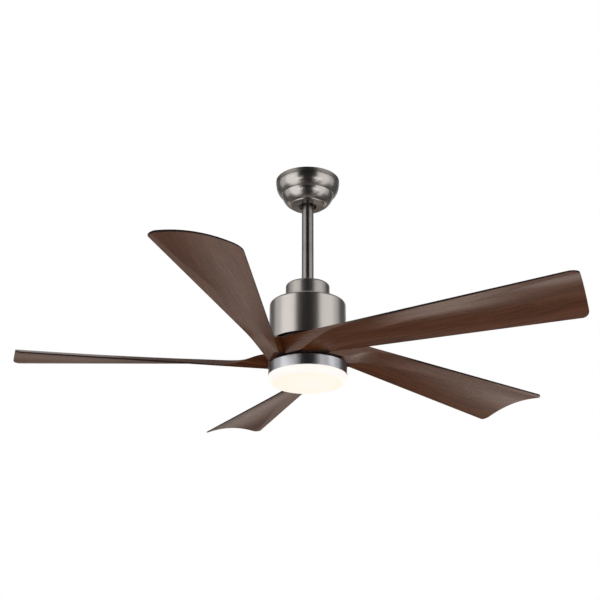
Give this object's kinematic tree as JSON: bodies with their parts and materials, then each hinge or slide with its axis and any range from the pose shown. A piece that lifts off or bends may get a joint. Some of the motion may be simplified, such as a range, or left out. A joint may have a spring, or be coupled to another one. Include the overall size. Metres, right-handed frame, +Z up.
{
  "type": "ceiling fan with light",
  "caption": "Ceiling fan on a downrod: wood-look twisted blades on a pinwheel hub under a drum motor housing, with a drum light and opal diffuser below.",
  "frame": {"origin": "on the ceiling, where the fan's upright axis meets it, at the middle of the bracket's two screw slots", "axes": "+Z up along the downrod into the ceiling, +X along the bracket's slots, -Y towards the picture's camera"},
  "size_m": [1.2264, 1.2536, 0.493],
  "materials": {
    "pewter": "satin brushed pewter plating",
    "band_steel": "brushed nickel, horizontal grain",
    "walnut": "moulded ABS with a walnut grain film",
    "opal": "opal acrylic, lit",
    "zinc_steel": "zinc plated",
    "green_screw": "green",
    "black_plastic": "moulded",
    "white_plastic": "moulded",
    "wire_jacket": "PVC insulation",
    "cast_metal": "die cast",
    "bearing_steel": "ground",
    "lamination": "stacked sheets",
    "copper": "enamelled copper wire",
    "magnet": "ferrite",
    "gasket_rubber": "moulded",
    "standoff_brass": "turned",
    "board_white": "white solder mask",
    "led_yellow": "phosphor, lit"
  },
  "bodies": {
    "ceiling_mount": {"hanger_bracket": "zinc_steel", "canopy": "pewter", "canopy_ring": "pewter", "canopy_screws": "zinc_steel", "ground_screw": "green_screw", "remote_receiver": "black_plastic", "terminal_block": "white_plastic", "terminal_screws": "zinc_steel"},
    "ball_seat": {"seat_liner": "white_plastic"},
    "hanging_motor": {"hanger_ball": "black_plastic", "ball_pin": "zinc_steel", "ball_set_screw": "zinc_steel", "downrod": "pewter", "yoke": "cast_metal", "clevis_pin": "zinc_steel", "clevis_clip": "zinc_steel", "yoke_set_screws": "zinc_steel", "lead_wires": "wire_jacket", "lead_plug": "white_plastic", "motor_shaft": "bearing_steel", "stator_core": "lamination", "stator_windings": "copper", "bearing_inner_rings": "bearing_steel", "shaft_circlip": "zinc_steel", "motor_housing": "pewter", "housing_screws": "zinc_steel", "housing_nuts": "zinc_steel", "light_plate": "zinc_steel", "shaft_nut": "zinc_steel", "light_band": "band_steel", "band_screws": "zinc_steel", "led_driver": "white_plastic", "led_standoffs": "standoff_brass", "led_board": "board_white", "board_screws": "zinc_steel", "led_chips": "led_yellow"},
    "rotor": {"rotor_bell_top": "cast_metal", "rotor_bell_bottom": "cast_metal", "rotor_ring": "lamination", "rotor_magnets": "magnet", "bearing_outer_rings": "bearing_steel", "bearing_balls": "bearing_steel", "rotor_screws": "zinc_steel", "blade_hub": "cast_metal", "hub_screws": "zinc_steel", "blade_gaskets": "gasket_rubber", "blade_screws": "zinc_steel", "blade_1": "walnut", "blade_2": "walnut", "blade_3": "walnut", "blade_4": "walnut", "blade_5": "walnut"},
    "coupling_cover": {"coupling_cover": "pewter"},
    "diffuser": {"diffuser": "opal"}
  },
  "joints": [
    {"name": "hanger_tilt_x", "type": "hinge", "parent": "ceiling_mount", "child": "ball_seat", "pos_m": [0, 0, -0.044], "axis": [1, 0, 0], "range_deg": [-10, 10]},
    {"name": "hanger_tilt_y", "type": "hinge", "parent": "ball_seat", "child": "hanging_motor", "pos_m": [0, 0, -0.044], "axis": [0, 1, 0], "range_deg": [-10, 10]},
    {"name": "fan_spin", "type": "hinge", "parent": "hanging_motor", "child": "rotor", "pos_m": [0, 0, -0.43], "axis": [0, 0, -1], "continuous": true},
    {"name": "coupling_cover_lift", "type": "slide", "parent": "hanging_motor", "child": "coupling_cover", "axis": [0, 0, 1], "range_m": [0, 0.17]},
    {"name": "diffuser_twist", "type": "hinge", "parent": "hanging_motor", "child": "diffuser", "pos_m": [0, 0, -0.48], "axis": [0, 0, -1], "range_deg": [0, 25]}
  ]
}
